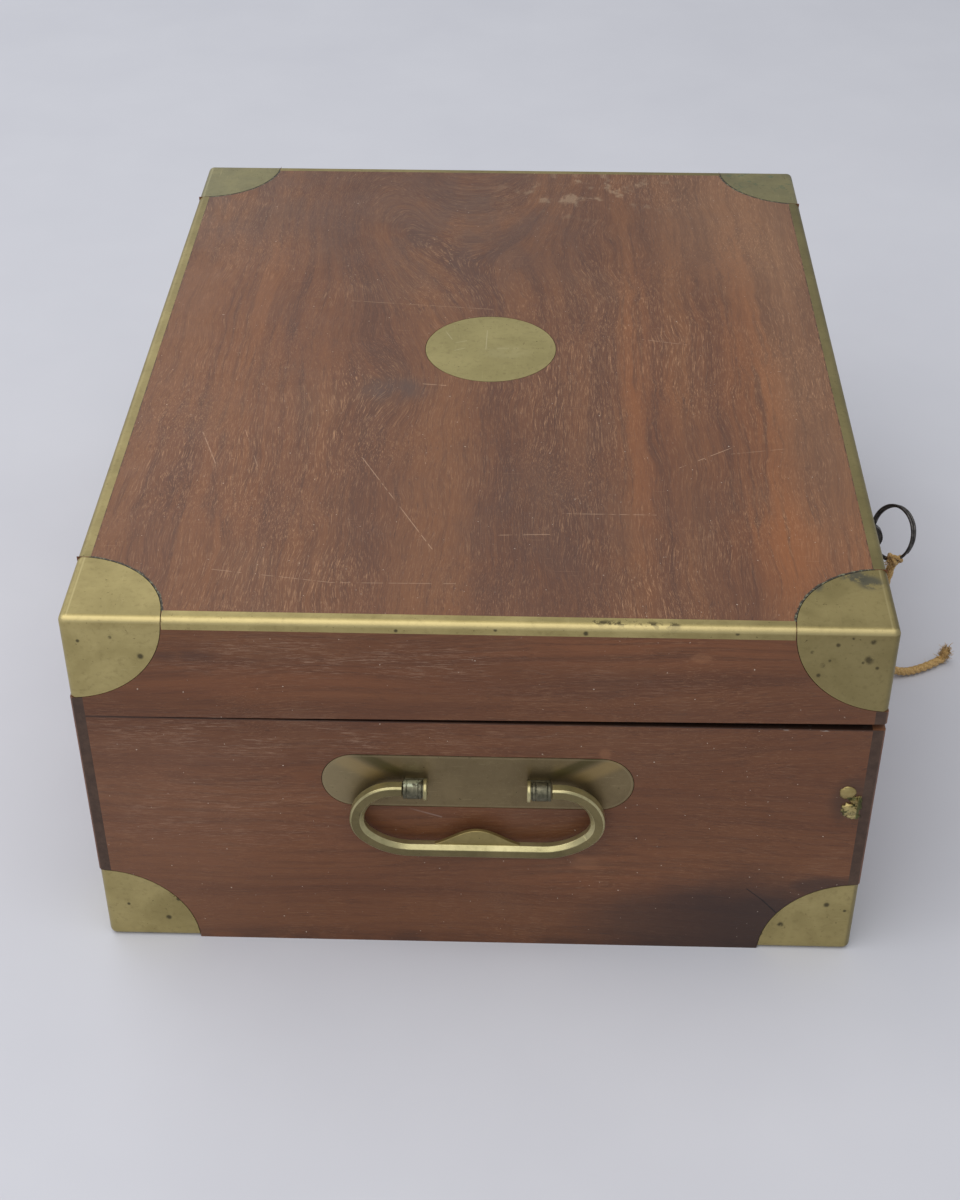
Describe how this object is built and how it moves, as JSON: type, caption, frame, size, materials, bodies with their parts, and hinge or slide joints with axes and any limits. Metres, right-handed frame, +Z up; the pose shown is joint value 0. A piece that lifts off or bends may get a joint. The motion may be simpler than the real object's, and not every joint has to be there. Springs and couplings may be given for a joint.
{
  "type": "letter writing box",
  "caption": "Brass-bound wooden letter writing box with a hinged lid, side drawer, drop handles, lock and key on a wire ring, and a fitted inside with a writing slope",
  "frame": {"origin": "centre of the underside of the box, on the surface it stands on", "axes": "+X to the front with the lock and key, -X to the hinged back, +Y to the end with the drawer, -Y to the plain end, +Z up"},
  "size_m": [0.3491, 0.3792, 0.1525],
  "materials": {
    "mahogany": "worn old polish",
    "inner_wood": "plain, lightly polished",
    "aged_brass": "aged, with dull patina",
    "dark_brass": "dark patina",
    "old_steel": "dull grey",
    "lining_cloth": "thin lining",
    "green_leather": "worn smooth",
    "clear_glass": "clear",
    "twine": "rough twisted twine"
  },
  "bodies": {
    "lid": {"lid_corner_back_left": "aged_brass", "lid_corner_back_right": "aged_brass", "lid_corner_front_left": "aged_brass", "lid_corner_front_right": "aged_brass", "lid_side_edging": "aged_brass", "lid_end_edging": "aged_brass", "lid_cartouche": "aged_brass", "link_plate": "aged_brass", "hinge_leaves_lid": "aged_brass", "hinge_screws_lid": "old_steel", "lid_panel": "mahogany", "lid_front": "mahogany", "lid_back": "mahogany", "lid_left_end": "mahogany", "lid_right_end": "mahogany", "lid_lining": "lining_cloth"},
    "case": {"base_front": "mahogany", "base_back": "mahogany", "base_left_end": "mahogany", "base_right_end": "mahogany", "base_bottom": "inner_wood", "base_corner_brasses": "aged_brass", "left_handle_plate": "dark_brass", "left_handle_barrels": "aged_brass", "right_handle_plate": "dark_brass", "right_handle_barrels": "aged_brass", "lock_case": "dark_brass", "lock_selvedge": "aged_brass", "escutcheon": "aged_brass", "hinge_leaves_base": "aged_brass", "hinge_screws_base": "old_steel", "hinge_pins": "old_steel", "dust_board": "inner_wood", "pen_partition": "inner_wood", "ink_partitions": "inner_wood", "pen_tray": "inner_wood", "pen_tray_rests": "inner_wood", "ink_bottles": "clear_glass", "ink_bottle_caps": "aged_brass", "letter_divider": "inner_wood", "slope_ledges": "inner_wood", "drawer_guides": "inner_wood", "drawer_stop": "inner_wood", "key_ring": "old_steel", "twine_knot": "twine", "twine": "twine"},
    "left_bail": {"left_bail": "aged_brass"},
    "right_bail": {"right_bail": "aged_brass"},
    "drawer": {"drawer_front": "mahogany", "drawer_sides": "inner_wood", "drawer_tail": "inner_wood", "drawer_bottom": "inner_wood", "drawer_knob": "aged_brass"},
    "drawer_pin": {"drawer_pin": "aged_brass"},
    "key": {"key": "old_steel"},
    "bolt": {"lock_bolt": "old_steel"},
    "slope": {"writing_slope": "mahogany", "slope_leather": "green_leather", "slope_pins": "aged_brass"}
  },
  "joints": [
    {"name": "lid_hinge", "type": "hinge", "parent": "case", "child": "lid", "pos_m": [-0.1425, 0, 0.1095], "axis": [0, -1, 0], "range_deg": [0, 100]},
    {"name": "left_bail_swing", "type": "hinge", "parent": "case", "child": "left_bail", "pos_m": [0, -0.1827, 0.082], "axis": [-1, 0, 0], "range_deg": [0, 95]},
    {"name": "right_bail_swing", "type": "hinge", "parent": "case", "child": "right_bail", "pos_m": [0, 0.1827, 0.082], "axis": [1, 0, 0], "range_deg": [0, 95]},
    {"name": "drawer_slide", "type": "slide", "parent": "case", "child": "drawer", "axis": [0, 1, 0], "range_m": [0, 0.22]},
    {"name": "pin_drop", "type": "slide", "parent": "case", "child": "drawer_pin", "axis": [0, 0, -1], "range_m": [0, 0.009]},
    {"name": "key_turn", "type": "hinge", "parent": "case", "child": "key", "pos_m": [0.15, 0, 0.065], "axis": [1, 0, 0], "range_deg": [0, 90]},
    {"name": "bolt_throw", "type": "slide", "parent": "case", "child": "bolt", "axis": [0, -1, 0], "range_m": [0, 0.004]},
    {"name": "slope_lift", "type": "hinge", "parent": "case", "child": "slope", "pos_m": [0.127, 0, 0.1], "axis": [0, 1, 0], "range_deg": [0, 10]}
  ],
  "couplings": [
    {"joint": "key_turn", "follows": "bolt_throw", "rad_per_m": 392.6}
  ]
}
